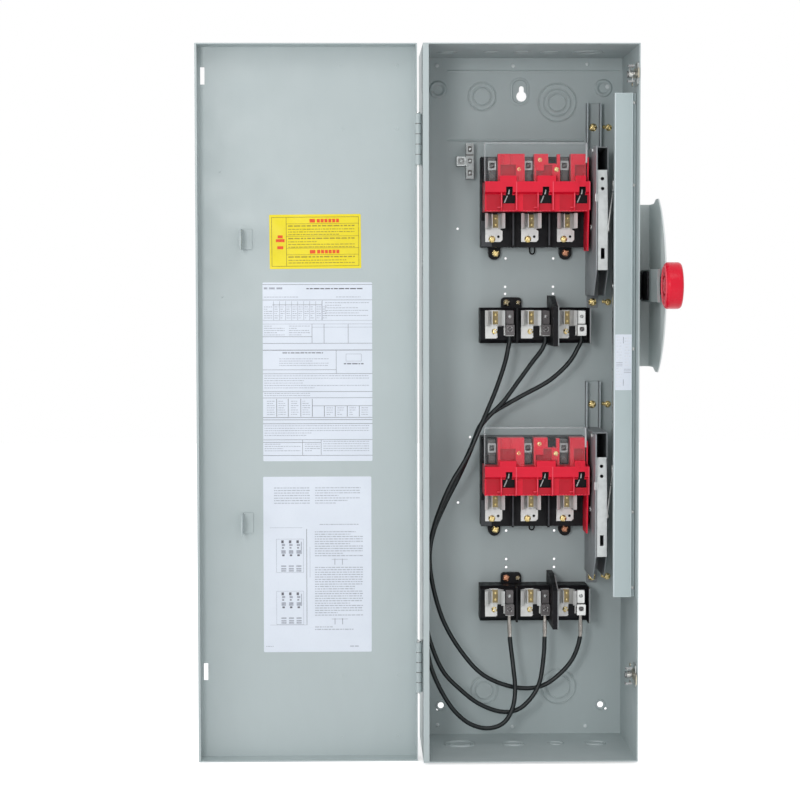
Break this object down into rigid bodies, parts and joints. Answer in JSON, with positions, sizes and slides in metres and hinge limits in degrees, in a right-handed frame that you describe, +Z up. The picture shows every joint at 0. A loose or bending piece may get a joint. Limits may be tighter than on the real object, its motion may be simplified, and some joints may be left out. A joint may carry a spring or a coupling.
{
  "type": "fused disconnect switch",
  "caption": "Wall-hung steel box with a swung-open door, two stacked fusible switches, a side handle with a red grip and jumper cables.",
  "frame": {"origin": "middle of the box's back face, where it lies on the wall", "axes": "+X to the right of someone facing the box, +Y into the wall, +Z up along the box's long side"},
  "size_m": [0.659, 0.3125, 1.0048],
  "materials": {
    "paint": "satin grey powder coat on sheet steel",
    "dark_paint": "darker grey painted steel",
    "cover_paint": "satin grey paint",
    "plated": "bright zinc or tin plate",
    "brass": "yellow-passivated steel",
    "copper": "copper blades on a black crossbar",
    "phenolic": "black phenolic moulding",
    "red_plastic": "red moulded plastic",
    "clear_plastic": "clear polycarbonate sheet",
    "cable_jacket": "black thermoplastic jacket"
  },
  "bodies": {
    "cabinet": {"enclosure": "paint", "hinge_box_leaf_upper": "paint", "hinge_box_leaf_lower": "paint", "hinge_pin_upper": "plated", "hinge_pin_lower": "plated", "latch_bracket_upper": "plated", "latch_bracket_lower": "plated", "ground_lug": "plated", "line_lug_upper_1": "plated", "line_lug_upper_2": "plated", "line_lug_upper_3": "plated", "line_lug_lower_1": "plated", "line_lug_lower_2": "plated", "line_lug_lower_3": "plated", "line_clip_upper_1": "plated", "line_clip_upper_2": "plated", "line_clip_upper_3": "plated", "line_clip_lower_1": "plated", "line_clip_lower_2": "plated", "line_clip_lower_3": "plated", "load_clip_upper_1": "plated", "load_clip_upper_2": "plated", "load_clip_upper_3": "plated", "load_clip_lower_1": "plated", "load_clip_lower_2": "plated", "load_clip_lower_3": "plated", "handle_guard": "dark_paint", "mechanism_frame_upper": "dark_paint", "mechanism_frame_lower": "dark_paint", "mechanism_cover": "cover_paint", "handle_hub": "phenolic", "switch_base_upper": "phenolic", "switch_base_lower": "phenolic", "load_base_upper": "phenolic", "load_base_lower": "phenolic", "red_shield_upper": "red_plastic", "red_shield_lower": "red_plastic", "line_shield_upper": "clear_plastic", "line_shield_lower": "clear_plastic", "cable_1": "cable_jacket", "cable_2": "cable_jacket", "cable_3": "cable_jacket"},
    "door": {"door_panel": "paint", "door_hook_upper": "paint", "door_hook_lower": "paint", "hinge_door_leaf_upper": "paint", "hinge_door_leaf_lower": "paint"},
    "handle": {"handle_lever": "plated", "handle_grip": "red_plastic", "handle_crank": "plated"},
    "rod": {"drive_rod": "plated", "drive_link_upper": "plated", "drive_link_lower": "plated"},
    "arm_upper": {"drive_arm_upper": "plated"},
    "arm_lower": {"drive_arm_lower": "plated"},
    "rotor_upper": {"rotor_upper": "copper"},
    "rotor_lower": {"rotor_lower": "copper"},
    "latch_upper": {"latch_plate_upper": "brass"},
    "latch_lower": {"latch_plate_lower": "brass"}
  },
  "joints": [
    {"name": "door_hinge", "type": "hinge", "parent": "cabinet", "child": "door", "pos_m": [-0.1558, -0.161, 0], "axis": [0, 0, 1], "range_deg": [0, 180]},
    {"name": "handle_turn", "type": "hinge", "parent": "cabinet", "child": "handle", "pos_m": [0.166, -0.091, 0.166], "axis": [-1, 0, 0], "range_deg": [-55, 55]},
    {"name": "rod_slide", "type": "slide", "parent": "cabinet", "child": "rod", "axis": [0, 0, 1], "range_m": [-0.0138, 0.0138]},
    {"name": "arm_upper_pivot", "type": "hinge", "parent": "cabinet", "child": "arm_upper", "pos_m": [0.1044, -0.08, 0.25], "axis": [-1, 0, 0], "range_deg": [-16.2, 16.2]},
    {"name": "arm_lower_pivot", "type": "hinge", "parent": "cabinet", "child": "arm_lower", "pos_m": [0.1044, -0.08, -0.156], "axis": [-1, 0, 0], "range_deg": [-16.2, 16.2]},
    {"name": "rotor_upper_turn", "type": "hinge", "parent": "cabinet", "child": "rotor_upper", "pos_m": [0.0145, -0.058, 0.29], "axis": [-1, 0, 0], "range_deg": [0, 60]},
    {"name": "rotor_lower_turn", "type": "hinge", "parent": "cabinet", "child": "rotor_lower", "pos_m": [0.0145, -0.058, -0.116], "axis": [-1, 0, 0], "range_deg": [0, 60]},
    {"name": "latch_upper_pivot", "type": "hinge", "parent": "cabinet", "child": "latch_upper", "pos_m": [0.1454, -0.168, 0.46], "axis": [1, 0, 0], "range_deg": [0, 10]},
    {"name": "latch_lower_pivot", "type": "hinge", "parent": "cabinet", "child": "latch_lower", "pos_m": [0.1454, -0.168, -0.38], "axis": [1, 0, 0], "range_deg": [0, 10]}
  ],
  "couplings": [
    {"joint": "rod_slide", "follows": "handle_turn", "m_per_rad": 0.0142},
    {"joint": "arm_upper_pivot", "follows": "handle_turn", "ratio": 0.29},
    {"joint": "arm_lower_pivot", "follows": "handle_turn", "ratio": 0.29}
  ]
}
